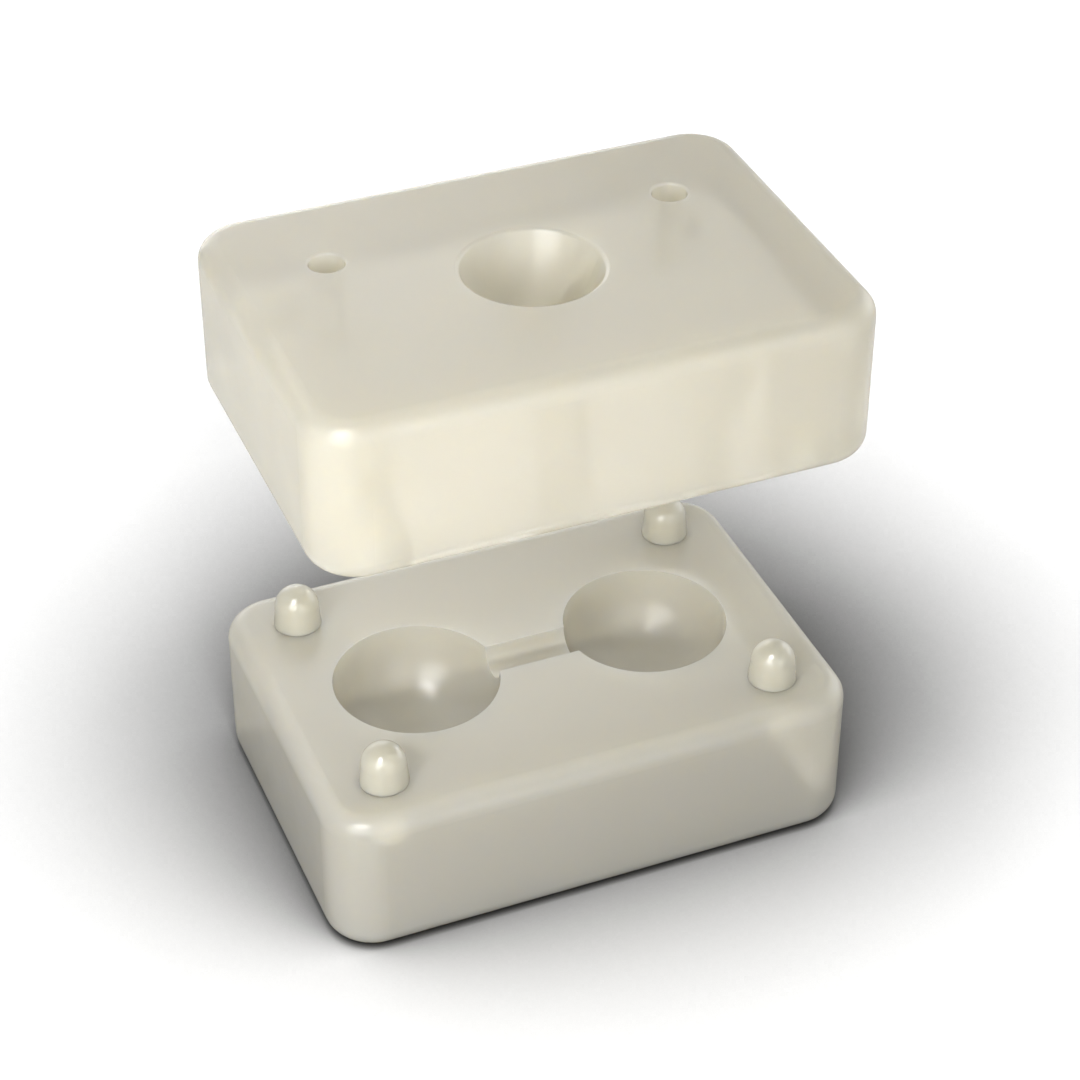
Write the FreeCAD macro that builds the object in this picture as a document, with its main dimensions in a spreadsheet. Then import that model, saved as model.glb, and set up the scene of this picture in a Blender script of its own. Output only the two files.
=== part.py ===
import FreeCAD, Part
import math
import os
import Sketcher

# Two-part casting mould, held open.  Millimetres, +Z up, the long side along X
# and the back at +Y.  The origin is the centre of the lower half's underside.
#
#   lower_half        block with two half-ball cavities joined by a runner
#   pin_front_left    one of four locating pins, each a shouldered dowel whose
#   ...               shank is set in the lower half
#   upper_half        flat-faced block that closes the cavities, with the pouring
#                     sprue, an air vent at each cavity's rim and the pin sockets

doc = FreeCAD.newDocument("casting_mould")


# ---------------------------------------------------------------- dimensions

DIMENSIONS = (
    ("block_length", 100.0, "both halves, along X"),
    ("block_width", 69.7, "both halves, along Y"),
    ("lower_height", 29.4, "thickness of the lower half"),
    ("upper_height", 29.9, "thickness of the upper half"),
    ("corner_radius", 9.0, "upright corners of both halves"),
    ("edge_fillet", 3.6, "rounding of the outer edges"),
    ("opening_gap", 52.0, "between the two parting faces, mould open"),
    ("cavity_radius", 15.25, "radius of the half balls that are cast"),
    ("cavity_spacing", 45.24, "between the centres of the two cavities"),
    ("runner_radius", 3.7, "half-round channel between the cavities"),
    ("sprue_mouth_radius", 12.4, "pouring hole at the top face"),
    ("sprue_neck_radius", 4.5, "straight end of the pouring hole"),
    ("sprue_neck_height", 11.0, "from the parting face up to the funnel"),
    ("sprue_lip_fillet", 0.8, "rounding of the pouring hole's rim"),
    ("vent_radius", 3.1, "air vents"),
    ("vent_setback", 1.25, "vent's centre, outside the cavity's rim"),
    ("vent_bearing", 58.0, "degrees from X, round the cavity to its vent"),
    ("vent_lip_fillet", 0.5, "rounding of the vents' rims"),
    ("pin_inset_x", 12.65, "pin's centre, from the block's end"),
    ("pin_inset_y", 11.05, "pin's centre, from the block's front or back"),
    ("pin_radius", 4.4, "pin at its foot"),
    ("pin_nose_radius", 4.1, "pin's round nose"),
    ("pin_side_height", 3.8, "pin's tapered side, from foot to nose"),
    ("shank_radius", 3.0, "part of the pin that is set in the block"),
    ("shank_length", 9.0, "from the parting face down"),
    ("shank_clearance", 0.05, "glue line round the shank"),
    ("shank_end_gap", 0.5, "room under the shank"),
    ("socket_clearance", 0.1, "between pin and socket, at the side"),
    ("socket_end_gap", 0.4, "between pin and socket, at the nose"),
)

# Each pin's name and the side of the centre that it stands on, along X and Y.
PIN_PLACES = (
    ("pin_front_left", -1, -1),
    ("pin_front_right", 1, -1),
    ("pin_back_left", -1, 1),
    ("pin_back_right", 1, 1),
)

dims = doc.addObject("Spreadsheet::Sheet", "Dims")
for row, (alias, value, note) in enumerate(DIMENSIONS, start=1):
    dims.set(f"A{row}", note)
    dims.set(f"B{row}", str(value))
    dims.setAlias(f"B{row}", alias)
doc.recompute()


# ------------------------------------------------------------------ sketches

def number(expression):
    """What an expression in the spreadsheet's names comes to now."""
    return float(dims.evalExpression(expression))


def origin_plane(body, role):
    """The body's own origin plane of that role."""
    return next(item for item in body.Origin.OriginFeatures if item.Role == role)


def add_sketch(body, name, role, **offset):
    """A sketch on one of the body's origin planes, moved by tied offsets."""
    sketch = body.newObject("Sketcher::SketchObject", name)
    sketch.AttachmentSupport = (origin_plane(body, role), "")
    sketch.MapMode = "FlatFace"
    for axis, expression in offset.items():
        sketch.setExpression(f"AttachmentOffset.Base.{axis}", expression)
    return sketch


def tie_point(sketch, item, point, x, y):
    """Ties a point to expressions for its X and Y; None puts it on the axis."""
    for kind, axis, expression in (("DistanceX", -2, x), ("DistanceY", -1, y)):
        if expression is None:
            sketch.addConstraint(Sketcher.Constraint("PointOnObject", item, point, axis))
        else:
            rule = Sketcher.Constraint(kind, item, point, number(expression))
            index = sketch.addConstraint(rule)
            sketch.setExpression(f"Constraints[{index}]", expression)


def pin_place(side_x, side_y):
    """Expressions for a pin's X and Y, measured in from the block's sides."""
    across = f"{side_x} * (Dims.block_length / 2 - Dims.pin_inset_x)"
    along = f"{side_y} * (Dims.block_width / 2 - Dims.pin_inset_y)"
    return across, along


def spot(x, y):
    """The place in the sketch that a pair of expressions gives."""
    return FreeCAD.Vector(*(number(e) if e else 0.0 for e in (x, y)), 0.0)


def add_outline(sketch, corners, round_from=None):
    """A closed outline through the corners, each a pair of expressions.

    Its last edge, from the last corner back to the first, is straight, or an
    arc about round_from, a point of the sketch's upright axis.
    """
    places = [spot(*corner) for corner in corners]
    lines = []
    for start, end in zip(places, places[1:]):
        lines.append(sketch.addGeometry(Part.LineSegment(start, end)))
    first, last = places[0], places[-1]
    if round_from is None:
        closing = sketch.addGeometry(Part.LineSegment(last, first))
        starts_at_last = True
    else:
        centre = spot(None, round_from)
        to_first, to_last = (math.atan2(p.y - centre.y, p.x - centre.x) for p in (first, last))
        circle = Part.Circle(centre, FreeCAD.Vector(0, 0, 1), (first - centre).Length)
        starts_at_last = to_last < to_first
        arc = Part.ArcOfCircle(circle, min(to_first, to_last), max(to_first, to_last))
        closing = sketch.addGeometry(arc)
        sketch.addConstraint(Sketcher.Constraint("PointOnObject", closing, 3, -2))
    for line, following in zip(lines, lines[1:]):
        sketch.addConstraint(Sketcher.Constraint("Coincident", line, 2, following, 1))
    at_last, at_first = (1, 2) if starts_at_last else (2, 1)
    sketch.addConstraint(Sketcher.Constraint("Coincident", lines[-1], 2, closing, at_last))
    sketch.addConstraint(Sketcher.Constraint("Coincident", closing, at_first, lines[0], 1))
    for line, corner in zip(lines, corners):
        tie_point(sketch, line, 1, *corner)
    tie_point(sketch, lines[-1], 2, *corners[-1])


def add_circle(sketch, radius, x, y):
    """A circle of a tied radius about a tied point."""
    circle = Part.Circle(spot(x, y), FreeCAD.Vector(0, 0, 1), number(radius))
    item = sketch.addGeometry(circle)
    index = sketch.addConstraint(Sketcher.Constraint("Radius", item, number(radius)))
    sketch.setExpression(f"Constraints[{index}]", radius)
    tie_point(sketch, item, 3, x, y)


# ------------------------------------------------------------------ features

def round_edges(body, name, radius, wanted):
    """Rounds the edges of the body's last feature that the test picks."""
    doc.recompute()
    base = body.Tip
    edges = enumerate(base.Shape.Edges, start=1)
    fillet = body.newObject("PartDesign::Fillet", name)
    fillet.Base = (base, [f"Edge{index}" for index, edge in edges if wanted(edge)])
    fillet.setExpression("Radius", radius)
    return fillet


def turn_cut(body, name, sketch):
    """Cuts the sketch turned right round its upright axis."""
    groove = body.newObject("PartDesign::Groove", name)
    groove.Profile = sketch
    groove.ReferenceAxis = (sketch, ["V_Axis"])
    groove.Angle = 360
    return groove


def bore_cut(body, name, sketch, depth=None):
    """Cuts the sketch's circles downwards, to a depth or right through."""
    pocket = body.newObject("PartDesign::Pocket", name)
    pocket.Profile = sketch
    if depth is None:
        pocket.Type = "ThroughAll"
    else:
        pocket.setExpression("Length", depth)
    return pocket


def is_upright(edge):
    """A straight edge along Z."""
    return edge.BoundBox.XLength < 1e-6 and edge.BoundBox.YLength < 1e-6


def is_level(edge):
    """An edge that lies in one level plane."""
    return edge.BoundBox.ZLength < 1e-6


def is_rim(height, radius):
    """A test for a full circle of that radius at that height."""
    def test(edge):
        level = abs(edge.BoundBox.ZMax - number(height)) < 1e-4
        across = abs(edge.BoundBox.XLength - 2 * number(radius))
        return is_level(edge) and level and across < 1e-3
    return test


def add_block(name, height):
    """A block with rounded corners and edges, its underside at Z 0."""
    body = doc.addObject("PartDesign::Body", name)
    body.Label = name
    outline = add_sketch(body, name + "_outline", "XY_Plane")
    right, back = "Dims.block_length / 2", "Dims.block_width / 2"
    left, front = f"-{right}", f"-{back}"
    add_outline(outline, ((left, front), (right, front), (right, back), (left, back)))
    block = body.newObject("PartDesign::Pad", name + "_block")
    block.Profile = outline
    block.setExpression("Length", height)
    round_edges(body, name + "_corners", "Dims.corner_radius", is_upright)
    round_edges(body, name + "_edges", "Dims.edge_fillet", is_level)
    return body


# ---------------------------------------------------------------- lower half

lower_half = add_block("lower_half", "Dims.lower_height")
ball = add_sketch(
    lower_half, "ball", "XZ_Plane", x="Dims.cavity_spacing / 2", y="Dims.lower_height"
)
deepest = (None, "-Dims.cavity_radius")
add_outline(ball, (deepest, (None, None), ("Dims.cavity_radius", None)), "0 * Dims.cavity_radius")
cavity = turn_cut(lower_half, "cavity_right", ball)
cavities = lower_half.newObject("PartDesign::Mirrored", "cavities")
cavities.Originals = [cavity]
cavities.MirrorPlane = (origin_plane(lower_half, "YZ_Plane"), [""])
lower_half.Tip = cavities

channel = add_sketch(lower_half, "channel", "YZ_Plane", y="Dims.lower_height")
add_circle(channel, "Dims.runner_radius", None, None)
runner = bore_cut(lower_half, "runner", channel, "Dims.cavity_spacing")
runner.SideType = "Symmetric"

shank_holes = add_sketch(lower_half, "shank_holes", "XY_Plane", z="Dims.lower_height")
for name, side_x, side_y in PIN_PLACES:
    hole_radius = "Dims.shank_radius + Dims.shank_clearance"
    add_circle(shank_holes, hole_radius, *pin_place(side_x, side_y))
bore_cut(lower_half, "shank_bores", shank_holes, "Dims.shank_length + Dims.shank_end_gap")


# -------------------------------------------------------------- locating pins

def add_pin(name, side_x, side_y):
    """A dowel with a shank, a shoulder on the parting face and a round nose."""
    pin = doc.addObject("PartDesign::Body", name)
    pin.Label = name
    profile = add_sketch(pin, name + "_profile", "XZ_Plane")
    corners = (
        (None, "Dims.pin_side_height + Dims.pin_nose_radius"),
        (None, "-Dims.shank_length"),
        ("Dims.shank_radius", "-Dims.shank_length"),
        ("Dims.shank_radius", None),
        ("Dims.pin_radius", None),
        ("Dims.pin_nose_radius", "Dims.pin_side_height"),
    )
    add_outline(profile, corners, "Dims.pin_side_height")
    turned = pin.newObject("PartDesign::Revolution", name + "_turned")
    turned.Profile = profile
    turned.ReferenceAxis = (profile, ["V_Axis"])
    turned.Angle = 360
    across, along = pin_place(side_x, side_y)
    pin.setExpression("Placement.Base.x", across)
    pin.setExpression("Placement.Base.y", along)
    pin.setExpression("Placement.Base.z", "Dims.lower_height")
    return pin


pins = [add_pin(*place) for place in PIN_PLACES]


# ---------------------------------------------------------------- upper half

def cut_socket(body, name, side_x, side_y):
    """The pin's own shape and a clearance, cut up into the parting face."""
    across, along = pin_place(side_x, side_y)
    sketch = add_sketch(body, name, "XZ_Plane", x=across, z=f"-({along})")
    nose = "Dims.pin_nose_radius + Dims.socket_clearance"
    nose_centre = "Dims.pin_side_height + Dims.socket_end_gap - Dims.socket_clearance"
    corners = (
        (None, f"{nose_centre} + {nose}"),
        (None, None),
        ("Dims.pin_radius + Dims.socket_clearance", None),
        (nose, "Dims.pin_side_height"),
        (nose, nose_centre),
    )
    add_outline(sketch, corners, nose_centre)
    turn_cut(body, name + "_cut", sketch)


upper_half = add_block("upper_half", "Dims.upper_height")
for name, side_x, side_y in PIN_PLACES:
    cut_socket(upper_half, name.replace("pin", "socket"), side_x, side_y)

sprue = add_sketch(upper_half, "sprue", "XZ_Plane")
add_outline(sprue, (
    (None, None),
    ("Dims.sprue_neck_radius", None),
    ("Dims.sprue_neck_radius", "Dims.sprue_neck_height"),
    ("Dims.sprue_mouth_radius", "Dims.upper_height"),
    (None, "Dims.upper_height"),
))
turn_cut(upper_half, "sprue_cut", sprue)

vents = add_sketch(upper_half, "vents", "XY_Plane", z="Dims.upper_height")
reach = "(Dims.cavity_radius + Dims.vent_setback)"
outward = f"Dims.cavity_spacing / 2 + {reach} * cos(Dims.vent_bearing * 1 deg)"
backward = f"{reach} * sin(Dims.vent_bearing * 1 deg)"
for side in (-1, 1):
    add_circle(vents, "Dims.vent_radius", f"{side} * ({outward})", backward)
bore_cut(upper_half, "vent_bores", vents)

sprue_rim = is_rim("Dims.upper_height", "Dims.sprue_mouth_radius")
round_edges(upper_half, "sprue_lip", "Dims.sprue_lip_fillet", sprue_rim)
vent_rim = is_rim("Dims.upper_height", "Dims.vent_radius")
round_edges(upper_half, "vent_lips", "Dims.vent_lip_fillet", vent_rim)
upper_half.setExpression("Placement.Base.z", "Dims.lower_height + Dims.opening_gap")


# ------------------------------------------------------------ check and write

doc.recompute()
for item in doc.Objects:
    if "Invalid" in item.State or "Error" in item.State:
        raise RuntimeError(f"{item.Name} is {item.State}")
for body in (lower_half, upper_half, *pins):
    if body.Shape.isNull() or not body.Shape.isValid() or len(body.Shape.Solids) != 1:
        raise RuntimeError(f"{body.Label} is not one valid solid")

os.makedirs("parts", exist_ok=True)
for body in (lower_half, upper_half, *pins):
    body.Shape.exportStep(f"parts/{body.Label}.step")
    size = body.Shape.BoundBox
    print(f"{body.Label}: {body.Shape.Volume:.1f} mm3, Z {size.ZMin:.2f} to {size.ZMax:.2f}")
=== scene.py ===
import math

import bpy
from mathutils import Euler, Matrix, Vector


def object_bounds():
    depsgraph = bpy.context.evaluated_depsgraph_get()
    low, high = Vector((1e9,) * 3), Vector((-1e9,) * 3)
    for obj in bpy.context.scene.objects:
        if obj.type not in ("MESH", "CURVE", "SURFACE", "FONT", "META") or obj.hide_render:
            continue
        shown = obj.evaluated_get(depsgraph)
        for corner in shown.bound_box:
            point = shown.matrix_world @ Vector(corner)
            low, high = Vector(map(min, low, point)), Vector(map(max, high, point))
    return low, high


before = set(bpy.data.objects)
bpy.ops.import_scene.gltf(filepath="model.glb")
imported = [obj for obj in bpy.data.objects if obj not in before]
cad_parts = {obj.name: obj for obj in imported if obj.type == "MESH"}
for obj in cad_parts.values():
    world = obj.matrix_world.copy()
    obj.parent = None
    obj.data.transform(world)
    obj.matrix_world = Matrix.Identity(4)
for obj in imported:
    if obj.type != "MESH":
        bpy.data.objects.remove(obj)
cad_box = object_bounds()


# ---------------------------------------------------------------------------
# Mould halves.  Two slabs of platinum-cure silicone rubber, poured round a
# pattern in a smooth walled box, so every face and edge came out rounded,
# milky and softly glossy.  The lower one has the hollows and the upper one
# is the lid with the pour hole.
def linear(hex_colour):
    """An sRGB hex colour as linear red, green, blue and an alpha of one."""
    parts = [int(hex_colour[i:i + 2], 16) / 255 for i in (0, 2, 4)]
    curve = [p / 12.92 if p <= 0.04045 else ((p + 0.055) / 1.055) ** 2.4 for p in parts]
    return (*curve, 1.0)


def start_material(name):
    """A new material whose node tree is empty."""
    material = bpy.data.materials.new(name)
    material.use_nodes = True
    material.node_tree.nodes.clear()
    return material


def add_node(tree, kind, settings=None, **links):
    """Adds a node, sets its inputs or properties by name, and links outputs
    of other nodes to its inputs, with an underscore for a space."""
    node = tree.nodes.new(kind)
    for name, value in (settings or {}).items():
        if name in node.inputs:
            node.inputs[name].default_value = value
        else:
            setattr(node, name, value)
    for name, source in links.items():
        tree.links.new(source, node.inputs[name.replace("_", " ")])
    return node


def wear(names, material):
    """Gives the named nodes this material and nothing else."""
    for name in names:
        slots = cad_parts[name].data.materials
        slots.clear()
        slots.append(material)


# Cured silicone is a milky solid.  Light sinks some millimetres into it, and
# part of it passes straight through and shows the far walls as faint bands.
# The colour drifts by a shade where the two parts were not quite evenly
# stirred, and the skin copies the slightly uneven polish of the box.
SILICONE_IOR = 1.41
SILICONE_PALE = "EBE7DA"
SILICONE_WARM = "E6E2D2"
SILICONE_SINK_MM = 8.0
SILICONE_SINK_RGB = (1.0, 0.95, 0.8)
SILICONE_CLEAR = 0.46
SILICONE_SMOOTH = 0.21
SILICONE_DULL = 0.27
STIR_CLOUD_MM = 38.0
STIR_FOLD = 0.6
POLISH_CLOUD_MM = 9.0
SKIN_RIPPLE_MM = 2.2
SKIN_RIPPLE_DEPTH_MM = 0.004

# Blender's noise stays mostly between these two values.
NOISE_LOW = 0.3
NOISE_HIGH = 0.7

# A mix node of colours keeps its factor, colours and result at these places.
MIX_FACTOR = 0
MIX_FIRST = 6
MIX_SECOND = 7
MIX_RESULT = 2

silicone = start_material("cast_silicone_rubber")
tree = silicone.node_tree
place = add_node(tree, "ShaderNodeTexCoord").outputs["Object"]
stir = add_node(
    tree, "ShaderNodeTexNoise",
    {"Scale": 1000 / STIR_CLOUD_MM, "Detail": 2.0, "Distortion": STIR_FOLD}, Vector=place,
)
tone = add_node(tree, "ShaderNodeMix", {"data_type": "RGBA"})
tree.links.new(stir.outputs["Fac"], tone.inputs[MIX_FACTOR])
tone.inputs[MIX_FIRST].default_value = linear(SILICONE_PALE)
tone.inputs[MIX_SECOND].default_value = linear(SILICONE_WARM)
polish = add_node(
    tree, "ShaderNodeTexNoise",
    {"Scale": 1000 / POLISH_CLOUD_MM, "Detail": 3.0}, Vector=place,
)
gloss = add_node(
    tree, "ShaderNodeMapRange",
    {
        "From Min": NOISE_LOW,
        "From Max": NOISE_HIGH,
        "To Min": SILICONE_SMOOTH,
        "To Max": SILICONE_DULL,
    },
    Value=polish.outputs["Fac"],
)
ripple = add_node(
    tree, "ShaderNodeTexNoise",
    {"Scale": 1000 / SKIN_RIPPLE_MM, "Detail": 1.0}, Vector=place,
)
skin_relief = add_node(
    tree, "ShaderNodeBump",
    {"Strength": 1.0, "Distance": SKIN_RIPPLE_DEPTH_MM / 1000}, Height=ripple.outputs["Fac"],
)
skin = add_node(
    tree, "ShaderNodeBsdfPrincipled",
    {
        "IOR": SILICONE_IOR,
        "Subsurface Weight": 1.0,
        "Subsurface Scale": SILICONE_SINK_MM / 1000,
        "Subsurface Radius": SILICONE_SINK_RGB,
        "Transmission Weight": SILICONE_CLEAR,
    },
    Base_Color=tone.outputs[MIX_RESULT], Roughness=gloss.outputs["Result"],
    Normal=skin_relief.outputs["Normal"],
)
add_node(tree, "ShaderNodeOutputMaterial", Surface=skin.outputs["BSDF"])
wear(["lower_half", "upper_half"], silicone)


# ---------------------------------------------------------------------------
# Locating pins.  Four bullet-nosed pegs of cast polyurethane resin, pushed
# into the lower half on plain shanks.  They line the halves up, and their
# polished noses slip into sockets under the lid.
PIN_PALE = "DEDBCD"
PIN_WARM = "D9D5C4"
PIN_CLOUD_MM = 5.0

# The resin is harder than the rubber, comes glossier from its mould and
# lets light sink less far, so the noses carry small sharp glints.  A faint
# swirl of colour and gloss is left by the mixing.
RESIN_IOR = 1.5
RESIN_SINK_MM = 2.0
RESIN_SINK_RGB = (1.0, 0.95, 0.85)
RESIN_CLEAR = 0.3
RESIN_SMOOTH = 0.14
RESIN_DULL = 0.19

pin_resin = start_material("cast_polyurethane_resin")
tree = pin_resin.node_tree
place = add_node(tree, "ShaderNodeTexCoord").outputs["Object"]
swirl = add_node(
    tree, "ShaderNodeTexNoise",
    {"Scale": 1000 / PIN_CLOUD_MM, "Detail": 2.0}, Vector=place,
)
tone = add_node(tree, "ShaderNodeMix", {"data_type": "RGBA"})
tree.links.new(swirl.outputs["Fac"], tone.inputs[MIX_FACTOR])
tone.inputs[MIX_FIRST].default_value = linear(PIN_PALE)
tone.inputs[MIX_SECOND].default_value = linear(PIN_WARM)
gloss = add_node(
    tree, "ShaderNodeMapRange",
    {
        "From Min": NOISE_LOW,
        "From Max": NOISE_HIGH,
        "To Min": RESIN_SMOOTH,
        "To Max": RESIN_DULL,
    },
    Value=swirl.outputs["Fac"],
)
body = add_node(
    tree, "ShaderNodeBsdfPrincipled",
    {
        "IOR": RESIN_IOR,
        "Subsurface Weight": 1.0,
        "Subsurface Scale": RESIN_SINK_MM / 1000,
        "Subsurface Radius": RESIN_SINK_RGB,
        "Transmission Weight": RESIN_CLEAR,
    },
    Base_Color=tone.outputs[MIX_RESULT], Roughness=gloss.outputs["Result"],
)
add_node(tree, "ShaderNodeOutputMaterial", Surface=body.outputs["BSDF"])
wear([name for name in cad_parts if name.startswith("pin_")], pin_resin)


# ---------------------------------------------------------------------------
# Studio.  A matt white table top that runs out of sight under a white sky,
# with a painted shadow near the mould, and round softboxes all about the open mould.
def seen_by_eye(tree):
    """One for what the camera sees directly, mirrored or through the
    rubber, and nought for the light that falls on things."""
    rays = add_node(tree, "ShaderNodeLightPath")
    seen = rays.outputs["Is Camera Ray"]
    for kind in ("Is Glossy Ray", "Is Transmission Ray"):
        either = add_node(tree, "ShaderNodeMath", {"operation": "MAXIMUM"})
        tree.links.new(seen, either.inputs[0])
        tree.links.new(rays.outputs[kind], either.inputs[1])
        seen = either.outputs[0]
    return seen


SKY_LEVEL = 0.05
sky = bpy.data.worlds.new("white_sky")
sky.use_nodes = True
tree = sky.node_tree
tree.nodes.clear()
strength = add_node(
    tree, "ShaderNodeMapRange", {"To Min": SKY_LEVEL, "To Max": 1.0}, Value=seen_by_eye(tree),
)
shine = add_node(
    tree, "ShaderNodeBackground", {"Color": (1.0, 1.0, 1.0, 1.0)},
    Strength=strength.outputs["Result"],
)
add_node(tree, "ShaderNodeOutputWorld", Surface=shine.outputs["Background"])
bpy.context.scene.world = sky

# The table's paint is a little darker in mirrors, and darker again as a
# source of light, than to the eye.  Near the mould a painted shadow darkens
# it and deepens the soft shadow from the lamps: it feels for the mould about
# a line that leans by this much along X and Y for each unit of height, and
# this far in metres.
TABLE_SIZE = 8.0
TABLE_WHITE = 0.94
TABLE_MIRRORED = 0.70
TABLE_BOUNCE = 0.50
SHADE_LEAN = (-0.30, -0.52)
SHADE_REACH = 0.12
SHADE_DEPTH = 3.8
SHADE_RAYS = 40
bpy.ops.mesh.primitive_plane_add(size=TABLE_SIZE)
table = bpy.context.object
table.name = "table_top"
table_paint = start_material("table_matt_white_with_painted_shadow")
tree = table_paint.node_tree
lean = add_node(
    tree, "ShaderNodeCombineXYZ",
    {"X": SHADE_LEAN[0], "Y": SHADE_LEAN[1], "Z": 1.0},
)
open_sky = add_node(
    tree, "ShaderNodeAmbientOcclusion", {"Distance": SHADE_REACH, "samples": SHADE_RAYS},
    Normal=lean.outputs["Vector"],
)
# Painted shadow: the share of open sky found here, raised to a power, darkens the table's white
# near the mould.
painted_shadow = add_node(tree, "ShaderNodeMath", {"operation": "POWER"})
tree.links.new(open_sky.outputs["AO"], painted_shadow.inputs[0])
painted_shadow.inputs[1].default_value = SHADE_DEPTH
mirrored = add_node(
    tree, "ShaderNodeMapRange", {"To Min": TABLE_BOUNCE, "To Max": TABLE_MIRRORED},
    Value=seen_by_eye(tree),
)
direct = add_node(
    tree, "ShaderNodeMapRange", {"To Min": 0.0, "To Max": TABLE_WHITE - TABLE_MIRRORED},
    Value=add_node(tree, "ShaderNodeLightPath").outputs["Is Camera Ray"],
)
white = add_node(tree, "ShaderNodeMath", {"operation": "ADD"})
tree.links.new(mirrored.outputs["Result"], white.inputs[0])
tree.links.new(direct.outputs["Result"], white.inputs[1])
# The table's white times the painted shadow.
white_under_painted_shadow = add_node(tree, "ShaderNodeMath", {"operation": "MULTIPLY"})
tree.links.new(painted_shadow.outputs[0], white_under_painted_shadow.inputs[0])
tree.links.new(white.outputs[0], white_under_painted_shadow.inputs[1])
matt = add_node(tree, "ShaderNodeBsdfDiffuse", Color=white_under_painted_shadow.outputs[0])
add_node(tree, "ShaderNodeOutputMaterial", Surface=matt.outputs["BSDF"])
table.data.materials.append(table_paint)

# Barn doors keep some lamps off the table and others off the mould.
table_lit = bpy.data.collections.new("lamps_on_table_only")
table_lit.objects.link(table)
table_spared = bpy.data.collections.new("lamps_off_table")
table_spared.objects.link(table)
table_spared.collection_objects[0].light_linking.link_state = "EXCLUDE"

# How far the lamps hang, in metres.  The table's are so far away that they
# light all of it alike.
TABLE_LAMP = 40.0
FAR_LAMP = 3.0
NEAR_LAMP = 0.40


def hang_softbox(name, bearing, height, width, level, distance, barn_doors):
    """A round lamp aimed at the mould from a bearing, clockwise from the
    front, and a height, with its width as seen from there, all in degrees.
    Its level is the brightness of a white card held square to it."""
    lamp = bpy.data.lights.new(name, "AREA")
    lamp.shape = "DISK"
    lamp.size = 2 * distance * math.tan(math.radians(width / 2))
    lamp.energy = level * (math.pi * distance) ** 2
    box = bpy.data.objects.new(name, lamp)
    turn, rise = math.radians(bearing), math.radians(height)
    away = math.cos(rise)
    way = Vector((-math.sin(turn) * away, -math.cos(turn) * away, math.sin(rise)))
    middle = (Vector(cad_box[0]) + Vector(cad_box[1])) / 2
    box.location = middle + way * distance
    box.rotation_euler = way.to_track_quat("Z", "Y").to_euler()
    box.visible_camera = False
    box.light_linking.receiver_collection = barn_doors
    bpy.context.scene.collection.objects.link(box)


hang_softbox("table_top_softbox", 45, 80, 42, 0.92, TABLE_LAMP, table_lit)
hang_softbox("table_front_softbox", 20, 35, 40, 0.92, TABLE_LAMP, table_lit)

# The left and corner lamps hang close, so their light falls off along the
# mould.  The back and right ones hang low and reach in under the lid.
hang_softbox("left_softbox", 48, 22, 40, 0.70, NEAR_LAMP, table_spared)
hang_softbox("corner_softbox", 38, 30, 40, 0.34, NEAR_LAMP, table_spared)
hang_softbox("front_softbox", -10, 25, 40, 0.23, FAR_LAMP, table_spared)
hang_softbox("back_low_softbox", 180, 14, 50, 0.32, NEAR_LAMP, table_spared)
hang_softbox("back_high_softbox", 180, 28, 50, 0.15, FAR_LAMP, table_spared)
hang_softbox("right_softbox", 255, 16, 50, 0.56, FAR_LAMP, table_spared)

# A small bright lamp for the glints on noses, rims and hollows alone.
hang_softbox("glint_softbox", 43, 54, 24, 0.85, FAR_LAMP, table_spared)
bpy.data.objects["glint_softbox"].visible_diffuse = False


# ---------------------------------------------------------------------------
# Camera.  A long lens, looking down on the open mould from the front left.
CAMERA_PLACE = Vector((-0.15276, -0.37565, 0.35778))
CAMERA_TILT, CAMERA_TURN, CAMERA_ROLL = 53.198, -22.328, 0.155
LENS_MM, SENSOR_MM = 94.57, 36.0
NEAREST_SEEN = 0.01

lens = bpy.data.cameras.new("view_lens")
lens.sensor_width = SENSOR_MM
lens.lens = LENS_MM
lens.clip_start = NEAREST_SEEN
camera = bpy.data.objects.new("view", lens)
facing = Euler((math.radians(CAMERA_TILT), 0.0, math.radians(CAMERA_TURN))).to_matrix().to_4x4()
roll = Matrix.Rotation(math.radians(CAMERA_ROLL), 4, "Z")
camera.matrix_world = Matrix.Translation(CAMERA_PLACE) @ facing @ roll
bpy.context.scene.collection.objects.link(camera)
bpy.context.scene.camera = camera
bpy.context.scene.view_settings.view_transform = "Standard"
